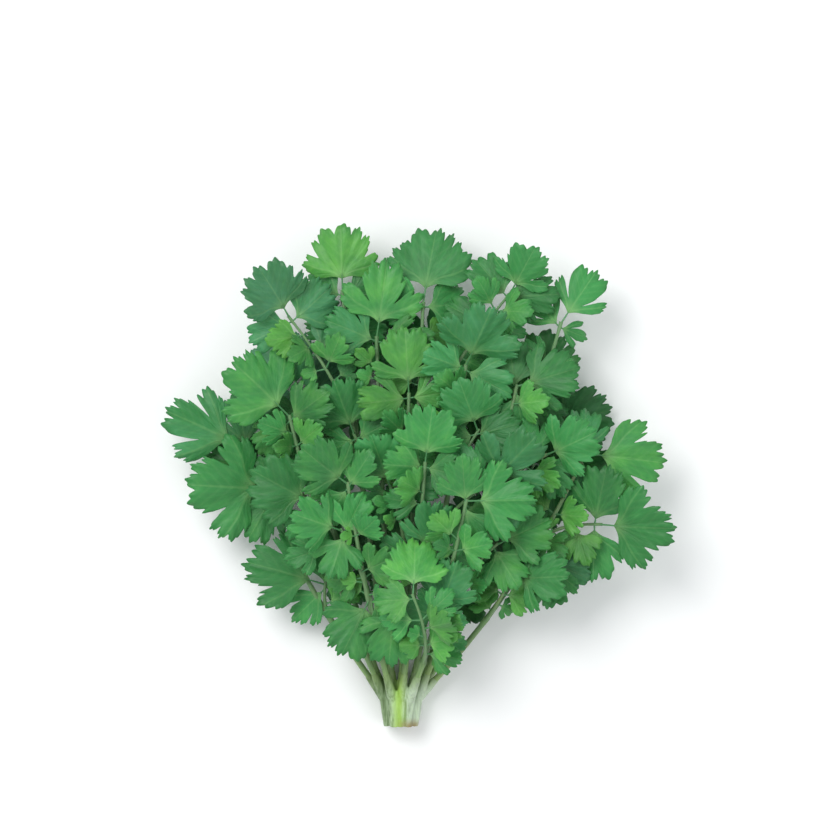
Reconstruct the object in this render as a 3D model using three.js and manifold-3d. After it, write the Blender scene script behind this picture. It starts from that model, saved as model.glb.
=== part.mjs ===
// A bunch of fresh coriander lying on its side: a pale crown, where all the
// stems grew together, and leafy stems that fan out of it in four rows.
// Millimetres, +Z up. The crown is at the -Y end and the leaves reach to +Y.
// The bunch is laid from the bottom row up, each leaf on what lies under it.

import * as THREE from 'three';
import { mergeVertices } from 'three/addons/utils/BufferGeometryUtils.js';
import Module from 'manifold-3d';

const wasm = await Module();
wasm.setup();

// The crown
const crown = {
  middleX: -7,
  cutY: -126,
  shoulderY: -107,
  cutWidth: 16.5,
  shoulderWidth: 23,
  cutHeight: 17,
  shoulderHeight: 20.5,
  flatSpot: 0.7, // how much of its round underside is flattened
  ribs: 11,
  ribDepth: 0.05,
  rings: 4,
};

// Where the stems leave the crown: the height of each row, and the space
// between two neighbours in a row
const rowHeights = [3.8, 8.4, 13.0, 17.4];
const columnPitch = 3.9;
const rootY = -113;

// The pale sheath of the crown round the foot of each stem
const sheath = { length: 15, rootRadius: 2.9, endRadius: 1.95, gap: 0.3 };

// Stems are thick at the crown and taper to the leaves
const stem = {
  rootRadius: 1.7,
  tipRadius: 1.15,
  branchRootRadius: 1.2,
  branchTipRadius: 0.85,
  sides: 5,
  branchSides: 4,
  step: 20, // length of one straight piece of a stem
  splay: 1.28, // stems leave wider than they end, as in a goblet
  widest: 46,
  bend: 0.5, // share of the way to its end that a stem keeps its first heading
  branchBend: 0.4,
  runOn: 1.1, // how far a stem runs on past the joint of its leaflets
};

// A leaflet: a fan with three lobes and a toothed rim
const blade = {
  thickness: 0.7,
  stalkWidth: 1.25,
  stalkShare: 0.24,
  sideStalkShare: 0.1,
  root: 0.3, // the stalk starts this far from the middle of its stem
  roundness: 2.2, // how late the rim falls away to the side corners
  waves: 3,
  middle: 0.27, // where the facets of the blade meet, as a share of its length
};

// What each measure of a leaflet is drawn between: angles in degrees, and the
// rest as shares of its length
const ranges = {
  length: [0.95, 1.05],
  halfAngle: [62, 75],
  sideReach: [0.5, 0.62],
  cleft: [0.63, 0.77],
  droop: [0.05, 0.2],
  cup: [-0.1, 0.16],
  wave: [0.025, 0.06],
  phase: [0, 360],
  roll: [-12, 12],
  drop: [-8, 14],
  swing: [-6, 6],
};

// How far out the rim reaches, from a side corner to the tip of the leaflet,
// for small, middling and large leaflets: tips, notches and one deep cleft
const rims = [
  { upTo: 22, reaches: [1, 0.93, 1, 'cleft', 0.97, 1] },
  { upTo: 29, reaches: [1, 0.92, 1, 'cleft', 1, 0.93, 1] },
  { upTo: 99, reaches: [1, 0.92, 1, 0.93, 1, 'cleft', 1, 0.93, 1] },
];
const sideLeaf = { turn: 91, share: 0.84, narrower: 0.82, back: 1.7 };
const lowLeaf = { turn: 84, back: 0.72 };

// Heights of the leaf layers over the surface, one for each row, and how far
// their leaflets may hang
const layerHeights = [9, 17, 25, 33];
const layerDroop = [-24, -20, -16, -14];

// Laying: each leaflet hangs as low as the pile lets it, and where it would
// have to stand too steeply, its stem is raised instead
const laying = {
  clearance: 0.45,
  steepest: 38,
  pitchStep: 4,
  halvings: 7,
  raiseStep: 2.5,
  mostRaises: 18,
  forkStep: 0.07,
  lastFork: 0.95,
  rings: 10, // rows of points over a blade that are held clear
  ballSpacing: 2, // between the balls along a stem that are held clear
  ownShare: 0.65, // nearer their knot than this, leaflets of a stem may meet
  ownRun: 14, // nearer its fork than this, a branch may meet its stem's leaves
};

// Relief of the pile, kept in square cells
const cell = 1.6;
const fieldHalf = 160;
const fieldCells = (2 * fieldHalf) / cell;
const farBelow = -1000;

// The leafy stems. Each has its row, and its fronds: where the leaflets meet,
// the heading of the end leaflet (0 is +X, 90 is +Y), its length, and, where
// they aren't the usual ones, the lengths of the side leaflets and of the
// lower pair, how far the side leaflets turn away, and how far all of them
// spread. The first frond ends the stem, and the others fork off it.
const leafyStems = [
  {
    row: 0,
    fronds: [
      { at: [66, 24], aim: 15, size: 27 },
      { at: [29, 8], aim: 80, size: 28, left: 0, from: 0.5 },
      { at: [52, -14], aim: 10, size: 26, from: 0.6 },
    ],
  },
  {
    row: 0,
    fronds: [
      { at: [56, 40], aim: 55, size: 28 },
      { at: [70, 2], aim: 5, size: 28, from: 0.55 },
      { at: [38, -28], aim: 45, size: 29, from: 0.35 },
      { at: [20, -60], aim: 55, size: 26, left: 0, right: 18, from: 0.2 },
    ],
  },
  {
    row: 0,
    fronds: [
      { at: [-24, 60], aim: 100, size: 31 },
      { at: [-36, 12], aim: 120, size: 30, from: 0.4 },
      { at: [-30, -46], aim: 135, size: 26, from: 0.25 },
    ],
  },
  {
    row: 0,
    fronds: [
      { at: [-56, 42], aim: 125, size: 30 },
      { at: [-72, 2], aim: 165, size: 28, from: 0.5 },
    ],
  },
  {
    row: 0,
    fronds: [
      { at: [10, 54], aim: 80, size: 31 },
      { at: [-4, 14], aim: 95, size: 30, from: 0.5 },
      { at: [-8, -40], aim: 95, size: 29, from: 0.25 },
    ],
  },
  {
    row: 1,
    fronds: [
      { at: [72, 75], aim: 56, size: 27, left: 24, right: 14, low: 16, turn: 72, spread: 0.8 },
      { at: [30, 30], aim: 85, size: 30, from: 0.55 },
    ],
  },
  {
    row: 1,
    fronds: [
      { at: [-36, 91], aim: 86, size: 28, left: 23, right: 22, low: 20, turn: 84, spread: 1.12 },
      { at: [-62, 78], aim: 124, size: 26, left: 22, right: 25, low: 22, turn: 86, from: 0.6 },
    ],
  },
  {
    row: 1,
    fronds: [
      { at: [-85, 14], aim: 158, size: 37, left: 0, right: 27, turn: 62, spread: 0.8 },
      { at: [-70, -7], aim: 174, size: 38, left: 26, right: 18, turn: 62, from: 0.74 },
      { at: [-45, -55], aim: 157, size: 34, left: 22, right: 26, turn: 72, spread: 0.82, from: 0.34 },
    ],
  },
  {
    row: 1,
    fronds: [
      { at: [4, 85], aim: 86, size: 32, left: 22, right: 24, turn: 82 },
      { at: [47, 90], aim: 67, size: 23, left: 24, right: 23, low: 20, turn: 66, from: 0.55 },
    ],
  },
  {
    row: 1,
    fronds: [
      { at: [84, 11], aim: -7, size: 33, left: 24, right: 26, spread: 0.86 },
      { at: [91, -24], aim: -6, size: 33, left: 28, right: 27, turn: 82, spread: 0.9, from: 0.66 },
      { at: [68, -41], aim: -98, size: 21, left: 22, right: 18, turn: 66, from: 0.52 },
      { at: [47, -51], aim: 4, size: 27, left: 20, right: 0, turn: 80, from: 0.36 },
    ],
  },
  {
    row: 2,
    fronds: [
      { at: [-19, 68], aim: 76, size: 32, turn: 84 },
      { at: [-30, 20], aim: 115, size: 25, from: 0.5 },
    ],
  },
  {
    row: 2,
    fronds: [
      { at: [-62, 29], aim: 135, size: 34, left: 23, right: 24 },
      { at: [-50, -14], aim: 150, size: 28, left: 21, from: 0.45 },
    ],
  },
  {
    row: 2,
    fronds: [
      { at: [50, 44], aim: 12, size: 27 },
      { at: [64, 10], aim: 30, size: 24, from: 0.6 },
      { at: [40, -34], aim: 30, size: 27, from: 0.35 },
    ],
  },
  {
    row: 2,
    fronds: [
      { at: [-3, 40], aim: 95, size: 29 },
      { at: [-12, -6], aim: 110, size: 27, from: 0.45 },
    ],
  },
  {
    row: 2,
    fronds: [
      { at: [25, 54], aim: 62, size: 30, left: 22, right: 25 },
      { at: [31, 22], aim: 105, size: 25, from: 0.6 },
      { at: [36, -4], aim: 50, size: 30, from: 0.5 },
    ],
  },
  {
    row: 3,
    fronds: [
      { at: [-33, -4], aim: 145, size: 26 },
      { at: [-36, -27], aim: 160, size: 25, from: 0.5 },
      { at: [-22, -60], aim: -112, size: 26, left: 18, right: 0, turn: 76, from: 0.2 },
    ],
  },
  {
    row: 3,
    fronds: [
      { at: [5, 6], aim: 80, size: 25 },
      { at: [3, -40], aim: 68, size: 26, left: 20, right: 21, from: 0.35 },
      { at: [-10, -62], aim: -92, size: 27, left: 0, right: 0, from: 0.25 },
    ],
  },
  {
    row: 3,
    fronds: [
      { at: [25, -12], aim: 5, size: 29 },
      { at: [12, -67], aim: 76, size: 24, left: 19, right: 15, low: 18, from: 0.2 },
      { at: [-1, -58], aim: 92, size: 24, left: 18, right: 0, from: 0.2 },
    ],
  },
];

// Draws the same numbers each time for the same seed
function makeDice(seed) {
  let state = (seed * 7919 + 17) % 2147483647;
  const draw = ([low, high]) => {
    state = (state * 16807) % 2147483647;
    return low + ((high - low) * state) / 2147483647;
  };
  draw([0, 1]);
  draw([0, 1]);
  return draw;
}

function turned(degrees) {
  return THREE.MathUtils.degToRad(degrees);
}

// Reliefs: the highest point so far over each cell of the surface
function newRelief() {
  return new Float64Array(fieldCells * fieldCells).fill(farBelow);
}

function cellOf(value) {
  const index = Math.floor((value + fieldHalf) / cell);
  return Math.min(Math.max(index, 1), fieldCells - 2);
}

function topAt(relief, point) {
  return relief[cellOf(point.y) * fieldCells + cellOf(point.x)];
}

function raiseRelief(relief, point, top) {
  const column = cellOf(point.x);
  const line = cellOf(point.y);
  for (let dy = -1; dy <= 1; dy += 1) {
    for (let dx = -1; dx <= 1; dx += 1) {
      const place = (line + dy) * fieldCells + column + dx;
      relief[place] = Math.max(relief[place], top);
    }
  }
}

function mergeRelief(into, from) {
  from.forEach((top, place) => {
    into[place] = Math.max(into[place], top);
  });
}

// A leaflet's shape, from its length and its own draws
function makeLeaflet(length, stalkShare, spread, seed) {
  const draw = makeDice(seed);
  return {
    length: length * draw(ranges.length),
    stalk: length * stalkShare,
    halfAngle: turned(draw(ranges.halfAngle) * spread),
    sideReach: draw(ranges.sideReach),
    cleft: draw(ranges.cleft),
    droop: draw(ranges.droop),
    cup: draw(ranges.cup),
    wave: draw(ranges.wave),
    phase: turned(draw(ranges.phase)),
    roll: turned(draw(ranges.roll)),
    drop: draw(ranges.drop),
    swing: draw(ranges.swing),
  };
}

// The rim runs from one side corner over the tip to the other
function rimPoints(leaflet) {
  const { reaches } = rims.find(({ upTo }) => leaflet.length < upTo);
  const last = 2 * (reaches.length - 1);
  const points = [];
  for (let index = 0; index <= last; index += 1) {
    const share = (2 * index) / last - 1;
    const rounding = 1 - Math.abs(share) ** blade.roundness;
    const reach = leaflet.sideReach + (1 - leaflet.sideReach) * rounding;
    const cut = reaches[Math.min(index, last - index)];
    points.push({
      angle: share * leaflet.halfAngle,
      reach: reach * (cut === 'cleft' ? leaflet.cleft : cut),
    });
  }
  return points;
}

// A point of the blade in its own plane, arched along it, cupped across it
// and waved towards the rim
function bladePoint(leaflet, angle, reach, rise = 0) {
  const along = reach * Math.cos(angle);
  const across = reach * Math.sin(angle);
  const arch = -leaflet.droop * along ** 2 + leaflet.cup * across ** 2;
  const wave = leaflet.wave * Math.sin(blade.waves * angle + leaflet.phase) * reach ** 2;
  return new THREE.Vector3(
    leaflet.stalk + leaflet.length * along,
    leaflet.length * across,
    leaflet.length * (arch + wave) + rise,
  );
}

function leafletMatrix(leaflet, knot, heading, pitch) {
  const turn = new THREE.Euler(leaflet.roll, -turned(pitch), turned(heading), 'ZYX');
  const matrix = new THREE.Matrix4().makeRotationFromEuler(turn);
  return matrix.setPosition(knot);
}

// Points over the blade, and how far out each lies, for laying it on the pile
function bladeSamples(leaflet) {
  const rim = rimPoints(leaflet);
  const samples = [];
  for (let ring = 1; ring <= laying.rings; ring += 1) {
    const share = ring / laying.rings;
    for (const { angle, reach } of rim) {
      samples.push({ point: bladePoint(leaflet, angle, reach * share), share });
    }
  }
  return samples;
}

// Two faces alike and the wall between them
function bladeGeometry(leaflet, matrix) {
  const half = blade.thickness / 2;
  const side = blade.stalkWidth / 2;
  const outline = [
    new THREE.Vector3(blade.root, -side, 0),
    new THREE.Vector3(leaflet.stalk, -side, 0),
  ];
  for (const { angle, reach } of rimPoints(leaflet)) {
    outline.push(bladePoint(leaflet, angle, reach));
  }
  outline.push(new THREE.Vector3(leaflet.stalk, side, 0));
  outline.push(new THREE.Vector3(blade.root, side, 0));
  const flat = [...outline, bladePoint(leaflet, 0, blade.middle)];
  const size = flat.length;
  const last = outline.length - 1;
  const triangles = [
    [0, 1, last - 1],
    [0, last - 1, last],
    [last - 1, 1, size - 1],
  ];
  for (let index = 1; index < last - 1; index += 1) {
    triangles.push([index, index + 1, size - 1]);
  }
  const indices = [];
  for (const [a, b, c] of triangles) {
    indices.push(a, b, c, c + size, b + size, a + size);
  }
  for (let index = 0; index <= last; index += 1) {
    const next = (index + 1) % outline.length;
    indices.push(index, index + size, next + size, index, next + size, next);
  }
  const up = new THREE.Vector3(0, 0, half);
  const positions = [];
  for (const move of [up, up.clone().negate()]) {
    for (const point of flat) {
      positions.push(...point.clone().add(move).applyMatrix4(matrix).toArray());
    }
  }
  return solidGeometry(positions, indices);
}

function solidGeometry(positions, indices) {
  const geometry = new THREE.BufferGeometry();
  geometry.setAttribute('position', new THREE.Float32BufferAttribute(positions, 3));
  geometry.setIndex(indices);
  return geometry;
}

// Closes a row of rings, each with the same number of points, into a solid
function loftGeometry(rings) {
  const count = rings[0].length;
  const positions = rings.flat().flatMap((point) => point.toArray());
  const indices = [];
  for (let ring = 0; ring < rings.length - 1; ring += 1) {
    for (let index = 0; index < count; index += 1) {
      const here = ring * count + index;
      const beside = ring * count + ((index + 1) % count);
      indices.push(here, beside, beside + count);
      indices.push(here, beside + count, here + count);
    }
  }
  const end = (rings.length - 1) * count;
  for (let index = 1; index < count - 1; index += 1) {
    indices.push(0, index + 1, index);
    indices.push(end, end + index, end + index + 1);
  }
  return solidGeometry(positions, indices);
}

// A tapered stem along a curve, from one share of it to another
function stemGeometry(curve, from, to, radii, sides, steps) {
  const rings = [];
  for (let step = 0; step <= steps; step += 1) {
    const share = step / steps;
    const place = from + (to - from) * share;
    const point = curve.getPoint(place);
    const along = curve.getTangent(Math.min(place, 1));
    const side = new THREE.Vector3(along.y, -along.x, 0).normalize();
    const up = new THREE.Vector3().crossVectors(side, along);
    const radius = radii[0] + (radii[1] - radii[0]) * share;
    const ring = [];
    for (let index = 0; index < sides; index += 1) {
      const angle = (-2 * Math.PI * (index + 0.5)) / sides;
      const corner = point.clone();
      corner.addScaledVector(side, radius * Math.cos(angle));
      corner.addScaledVector(up, radius * Math.sin(angle));
      ring.push(corner);
    }
    rings.push(ring);
  }
  return loftGeometry(rings);
}

// The crown: rings along Y that widen from the cut to the shoulder, ribbed by
// the feet of the stems, with a flat spot underneath
function crownGeometry() {
  const rings = [];
  for (let step = 0; step < crown.rings; step += 1) {
    const share = step / (crown.rings - 1);
    const swell = Math.sin((share * Math.PI) / 2);
    const wide = crown.cutWidth + (crown.shoulderWidth - crown.cutWidth) * swell;
    const high = crown.cutHeight + (crown.shoulderHeight - crown.cutHeight) * swell;
    const y = crown.cutY + (crown.shoulderY - crown.cutY) * share;
    const ring = [];
    for (let index = 0; index < 2 * crown.ribs; index += 1) {
      const angle = (Math.PI * index) / crown.ribs;
      const rib = 1 + crown.ribDepth * (index % 2 === 0 ? 1 : -1);
      const x = crown.middleX + (wide / 2) * rib * Math.cos(angle);
      const z = high / 2 - crown.flatSpot + (high / 2) * rib * Math.sin(angle);
      ring.push(new THREE.Vector3(x, y, Math.max(z, 0)));
    }
    rings.push(ring.reverse());
  }
  return loftGeometry(rings);
}

// Booleans
function toSolid(geometry) {
  const merged = mergeVertices(geometry, 1e-5);
  return new wasm.Manifold(
    new wasm.Mesh({
      numProp: 3,
      vertProperties: new Float32Array(merged.attributes.position.array),
      triVerts: new Uint32Array(merged.index.array),
    }),
  );
}

// Joins pieces into one solid: a hollow sealed between them is filled
function joined(geometries) {
  const solid = geometries.map(toSolid).reduce((sum, part) => sum.add(part));
  const bodies = solid.decompose();
  bodies.sort((one, other) => other.volume() - one.volume());
  const mesh = bodies[0].getMesh();
  return solidGeometry(Array.from(mesh.vertProperties), Array.from(mesh.triVerts));
}

// Laying the stems

// All stems laid so far, as balls along them
const laidStems = [];
const pile = { blades: newRelief(), stems: newRelief() };

function stemRadii(isMain) {
  return isMain
    ? [stem.rootRadius, stem.tipRadius]
    : [stem.branchRootRadius, stem.branchTipRadius];
}

// Balls along a stem, each with how far along it lies
function stemBalls(curve, radii) {
  const steps = Math.ceil(curve.getLength() / laying.ballSpacing);
  const balls = [];
  for (let step = 0; step <= steps; step += 1) {
    const share = step / steps;
    balls.push({
      point: curve.getPoint(share),
      radius: radii[0] + (radii[1] - radii[0]) * share,
      run: share * steps * laying.ballSpacing,
    });
  }
  return balls;
}

function stemIsClear(balls, isMain, own) {
  return balls.every((ball) => {
    if (isMain && ball.run < sheath.length) {
      return true;
    }
    const foot = ball.point.z - ball.radius;
    if (foot < 0 || foot - laying.clearance < topAt(pile.blades, ball.point)) {
      return false;
    }
    if (ball.run > laying.ownRun && foot - laying.clearance < topAt(own.blades, ball.point)) {
      return false;
    }
    return laidStems.every((other) => {
      const apart = ball.radius + other.radius + laying.clearance;
      const plan = Math.hypot(ball.point.x - other.point.x, ball.point.y - other.point.y);
      return plan >= apart || ball.point.z - other.point.z >= Math.sqrt(apart ** 2 - plan ** 2);
    });
  });
}

function bladeIsClear(samples, matrix, own, frondBlades) {
  const half = blade.thickness / 2;
  return samples.every(({ point, share }) => {
    const place = point.clone().applyMatrix4(matrix);
    const foot = place.z - half;
    if (foot < 0) {
      return false;
    }
    const low = foot - laying.clearance;
    if (low < topAt(pile.blades, place) || low < topAt(pile.stems, place)) {
      return false;
    }
    if (share < laying.ownShare) {
      return true;
    }
    return low >= topAt(own.blades, place) && low >= topAt(own.stems, place)
      && low >= topAt(frondBlades, place);
  });
}

// The lowest pitch at which a leaflet is clear of the pile, or null
function restingPitch(leaflet, samples, knot, heading, lowest, own, frondBlades) {
  const isClear = (pitch) =>
    bladeIsClear(samples, leafletMatrix(leaflet, knot, heading, pitch), own, frondBlades);
  let pitch = lowest;
  while (!isClear(pitch)) {
    pitch += laying.pitchStep;
    if (pitch > laying.steepest) {
      return null;
    }
  }
  if (pitch === lowest) {
    return pitch;
  }
  let under = pitch - laying.pitchStep;
  for (let turn = 0; turn < laying.halvings; turn += 1) {
    const middle = (under + pitch) / 2;
    if (isClear(middle)) {
      pitch = middle;
    } else {
      under = middle;
    }
  }
  return pitch;
}

// The leaflets of a frond, lowest first: where on the stem, heading, length
function frondLeaflets(frond) {
  const left = frond.left ?? frond.size * sideLeaf.share;
  const right = frond.right ?? frond.size * sideLeaf.share;
  const low = frond.low ?? 0;
  const turn = frond.turn ?? sideLeaf.turn;
  const back = frond.size * lowLeaf.back;
  const leaflets = [
    { back, turn: lowLeaf.turn, length: low, stalk: blade.sideStalkShare },
    { back, turn: -lowLeaf.turn, length: low, stalk: blade.sideStalkShare },
    { back: sideLeaf.back, turn, length: left, stalk: blade.sideStalkShare },
    { back: sideLeaf.back, turn: -turn, length: right, stalk: blade.sideStalkShare },
    { back: 0, turn: 0, length: frond.size, stalk: blade.stalkShare },
  ];
  return leaflets.filter((leaflet) => leaflet.length > 0);
}

function frondCurve(start, heading, frond, height, bend) {
  const end = new THREE.Vector3(frond.at[0], frond.at[1], height);
  const reach = bend * Math.hypot(end.x - start.x, end.y - start.y);
  const control = new THREE.Vector3(
    start.x + reach * Math.cos(heading),
    start.y + reach * Math.sin(heading),
    height,
  );
  return new THREE.QuadraticBezierCurve3(start, control, end);
}

// Lays one frond, raising it until its stem and all its leaflets are clear
function layFrond(frond, start, heading, isMain, row, own, seed) {
  const radii = stemRadii(isMain);
  for (let raised = 0; raised < laying.mostRaises; raised += 1) {
    const height = layerHeights[row] + raised * laying.raiseStep;
    const curve = frondCurve(start, heading, frond, height, isMain ? stem.bend : stem.branchBend);
    const balls = stemBalls(curve, radii);
    if (!stemIsClear(balls, isMain, own)) {
      continue;
    }
    const frondBlades = newRelief();
    const laid = [];
    for (const [index, item] of frondLeaflets(frond).entries()) {
      const spread = (frond.spread ?? 1) * (item.turn === 0 ? 1 : sideLeaf.narrower);
      const leaflet = makeLeaflet(item.length, item.stalk, spread, seed * 10 + index);
      const knot = curve.getPoint(1 - item.back / curve.getLength());
      const facing = frond.aim + item.turn + leaflet.swing;
      const samples = bladeSamples(leaflet);
      const lowest = layerDroop[row] + leaflet.drop;
      const pitch = restingPitch(leaflet, samples, knot, facing, lowest, own, frondBlades);
      if (pitch === null) {
        break;
      }
      const matrix = leafletMatrix(leaflet, knot, facing, pitch);
      for (const { point, share } of samples) {
        if (share >= laying.ownShare) {
          const place = point.clone().applyMatrix4(matrix);
          raiseRelief(frondBlades, place, place.z + blade.thickness / 2);
        }
      }
      laid.push({ leaflet, matrix, samples });
    }
    if (laid.length === frondLeaflets(frond).length) {
      return { curve, balls, radii, laid };
    }
  }
  return null;
}

// A branch that has no room where it would fork off does so further out
function layBranch(frond, mainCurve, row, own, seed) {
  for (let fork = frond.from; fork < laying.lastFork; fork += laying.forkStep) {
    const tangent = mainCurve.getTangent(fork);
    const heading = Math.atan2(tangent.y, tangent.x);
    const result = layFrond(frond, mainCurve.getPoint(fork), heading, false, row, own, seed);
    if (result) {
      return result;
    }
  }
  return null;
}

function stampFrond(result, own) {
  for (const { matrix, samples } of result.laid) {
    for (const { point } of samples) {
      const place = point.clone().applyMatrix4(matrix);
      raiseRelief(own.blades, place, place.z + blade.thickness / 2);
    }
  }
  for (const ball of result.balls) {
    raiseRelief(own.stems, ball.point, ball.point.z + ball.radius);
  }
}

function frondGeometries(result, isMain) {
  const { curve, radii } = result;
  const length = curve.getLength();
  const from = isMain ? (sheath.length + sheath.gap) / length : 0;
  const steps = Math.max(3, Math.round(length / stem.step));
  const sides = isMain ? stem.sides : stem.branchSides;
  const parts = [stemGeometry(curve, from, 1 + stem.runOn / length, radii, sides, steps)];
  for (const { leaflet, matrix } of result.laid) {
    parts.push(bladeGeometry(leaflet, matrix));
  }
  return parts;
}

// Lays one leafy stem and gives its solid's pieces
function layLeafyStem(plan, number) {
  const own = { blades: newRelief(), stems: newRelief() };
  const parts = [];
  let main = null;
  const balls = [];
  plan.fronds.forEach((frond, index) => {
    const isMain = index === 0;
    const seed = number * 10 + index;
    const result = isMain
      ? layFrond(frond, plan.root, plan.heading, true, plan.row, own, seed)
      : layBranch(frond, main.curve, plan.row, own, seed);
    if (!result) {
      throw new Error(`the frond at ${frond.at} finds no room`);
    }
    stampFrond(result, own);
    balls.push(...result.balls);
    parts.push(...frondGeometries(result, isMain));
    main = main ?? result;
  });
  laidStems.push(...balls);
  mergeRelief(pile.blades, own.blades);
  mergeRelief(pile.stems, own.stems);
  return { parts, curve: main.curve };
}

// Gives each stem its root in the crown: across a row, the stems that end
// furthest left start furthest left
function rootPlans() {
  const plans = leafyStems.map((plan) => ({ ...plan }));
  rowHeights.forEach((height, row) => {
    const mates = plans.filter((plan) => plan.row === row);
    const bearing = ({ fronds }) =>
      Math.atan2(fronds[0].at[0] - crown.middleX, fronds[0].at[1] - rootY);
    mates.sort((one, other) => bearing(one) - bearing(other));
    mates.forEach((plan, place) => {
      const x = crown.middleX + columnPitch * (place - (mates.length - 1) / 2);
      const lean = Math.atan2(plan.fronds[0].at[0] - x, plan.fronds[0].at[1] - rootY);
      plan.root = new THREE.Vector3(x, rootY, height);
      const widest = turned(stem.widest);
      plan.heading = Math.PI / 2 - Math.min(Math.max(lean * stem.splay, -widest), widest);
    });
  });
  return plans;
}

const stemMaterial = () =>
  new THREE.MeshStandardMaterial({ color: 0x3f8a4a, roughness: 0.6, metalness: 0 });
const crownMaterial = new THREE.MeshStandardMaterial({
  color: 0x9fae7a,
  roughness: 0.55,
  metalness: 0,
});

const group = new THREE.Group();
const crownParts = [crownGeometry()];
rootPlans().forEach((plan, index) => {
  const { parts, curve } = layLeafyStem(plan, index + 1);
  const mesh = new THREE.Mesh(joined(parts), stemMaterial());
  mesh.name = `leafy_stem_${String(index + 1).padStart(2, '0')}`;
  group.add(mesh);
  const to = sheath.length / curve.getLength();
  crownParts.push(stemGeometry(curve, 0, to, [sheath.rootRadius, sheath.endRadius], 5, 2));
});
const crownMesh = new THREE.Mesh(joined(crownParts), crownMaterial);
crownMesh.name = 'crown';
group.add(crownMesh);

// The bunch stands on z = 0 with its box centred over the origin
const box = new THREE.Box3().setFromObject(group);
const centre = box.getCenter(new THREE.Vector3());
group.position.set(-centre.x, -centre.y, -box.min.z);

export default group;
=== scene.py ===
# A bunch of fresh coriander laid on its side, seen from straight above.
# It is laid leaf by leaf in millimetres, each leaf on a relief of what lies under it.
# Every blade and stem and the crown is then grown in metres where it came to lie.
import math
import bpy
import numpy as np
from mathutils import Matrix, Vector


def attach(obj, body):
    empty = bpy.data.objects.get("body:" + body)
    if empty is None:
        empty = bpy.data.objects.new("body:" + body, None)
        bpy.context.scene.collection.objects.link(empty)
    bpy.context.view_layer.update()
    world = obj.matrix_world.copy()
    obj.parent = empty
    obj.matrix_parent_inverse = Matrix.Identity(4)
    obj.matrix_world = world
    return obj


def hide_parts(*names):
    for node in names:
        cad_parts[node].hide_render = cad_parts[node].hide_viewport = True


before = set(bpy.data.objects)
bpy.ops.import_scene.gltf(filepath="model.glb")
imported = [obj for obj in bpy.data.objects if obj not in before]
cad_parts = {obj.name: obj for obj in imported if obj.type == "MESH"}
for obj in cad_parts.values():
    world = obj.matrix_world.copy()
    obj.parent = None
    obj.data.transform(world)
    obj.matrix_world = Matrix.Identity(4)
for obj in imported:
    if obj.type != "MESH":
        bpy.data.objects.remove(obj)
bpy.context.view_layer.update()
mm = 0.001
scene = bpy.context.scene

# Where the stems leave the crown, in four rows
crown = {
    "middleX": -7,
    "cutY": -126,
    "rootY": -113,
    "rowHeights": [3.8, 8.4, 13.0, 17.4],
    "columnPitch": 3.9,
    "sheathLength": 15,
}

stem = {
    "rootRadius": 1.7,
    "tipRadius": 1.15,
    "branchRootRadius": 1.2,
    "branchTipRadius": 0.85,
    "splay": 1.28,  # stems leave wider than they end, as in a goblet
    "widest": 46,
    "bend": 0.5,
    "branchBend": 0.4,
    "runOn": 1.1,
}

blade = {"thickness": 0.7, "stalkShare": 0.24, "sideStalkShare": 0.1, "roundness": 2.2, "waves": 3}
sideLeaf = {"turn": 91, "share": 0.84, "narrower": 0.82, "back": 1.7}
lowLeaf = {"turn": 84, "back": 0.72}

# What each measure of a leaflet is drawn between: angles in degrees, and the
# rest as shares of its length
leafRanges = {
    "length": (0.95, 1.05),
    "halfAngle": (62, 75),
    "sideReach": (0.5, 0.62),
    "cleft": (0.63, 0.77),
    "droop": (0.05, 0.2),
    "cup": (-0.1, 0.16),
    "wave": (0.025, 0.06),
    "phase": (0, 360),
    "roll": (-12, 12),
    "drop": (-8, 14),
    "swing": (-6, 6),
}

# The rim of small, middling and large leaflets from a side corner to the tip:
# tips, notches and one cleft, which is given as 0
rims = [
    (22, [1, 0.93, 1, 0, 0.97, 1]),
    (29, [1, 0.92, 1, 0, 1, 0.93, 1]),
    (99, [1, 0.92, 1, 0.93, 1, 0, 1, 0.93, 1]),
]

laying = {
    "heights": [9, 17, 25, 33],  # of the leaf layers over the surface
    "droops": [-24, -20, -16, -14],  # how far their leaflets may hang
    "clearance": 0.45,
    "steepest": 38,
    "pitchStep": 4,
    "halvings": 7,
    "raiseStep": 2.5,
    "mostRaises": 18,
    "forkStep": 0.07,
    "lastFork": 0.95,
    "rings": 10,
    "ballSpacing": 2,
    "ownShare": 0.65,
    "ownRun": 14,
    "cell": 1.6,
    "fieldHalf": 160,
    "fieldCells": 200,
    "farBelow": -1000.0,
}


# A frond: where its leaflets meet, where its end leaflet points, its length and
# those of the side leaflets and the lower pair, how far the side leaflets turn
# away, how far all of them spread and how deep their clefts are
def frond(x, y, aim, size, left=None, right=None, low=0, turn=None, spread=1,
          parted=None, tint="plain", fork=None):
    side = size * sideLeaf["share"]
    back = size * lowLeaf["back"]
    turn = turn or sideLeaf["turn"]
    leaflets = [
        (back, lowLeaf["turn"], low),
        (back, -lowLeaf["turn"], low),
        (sideLeaf["back"], turn, side if left is None else left),
        (sideLeaf["back"], -turn, side if right is None else right),
        (0, 0, size),
    ]
    kept = [leaflet for leaflet in leaflets if leaflet[2] > 0]
    return {"at": (x, y), "aim": aim, "leaflets": kept, "spread": spread, "parted": parted,
            "tint": tint, "fork": fork}


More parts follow.
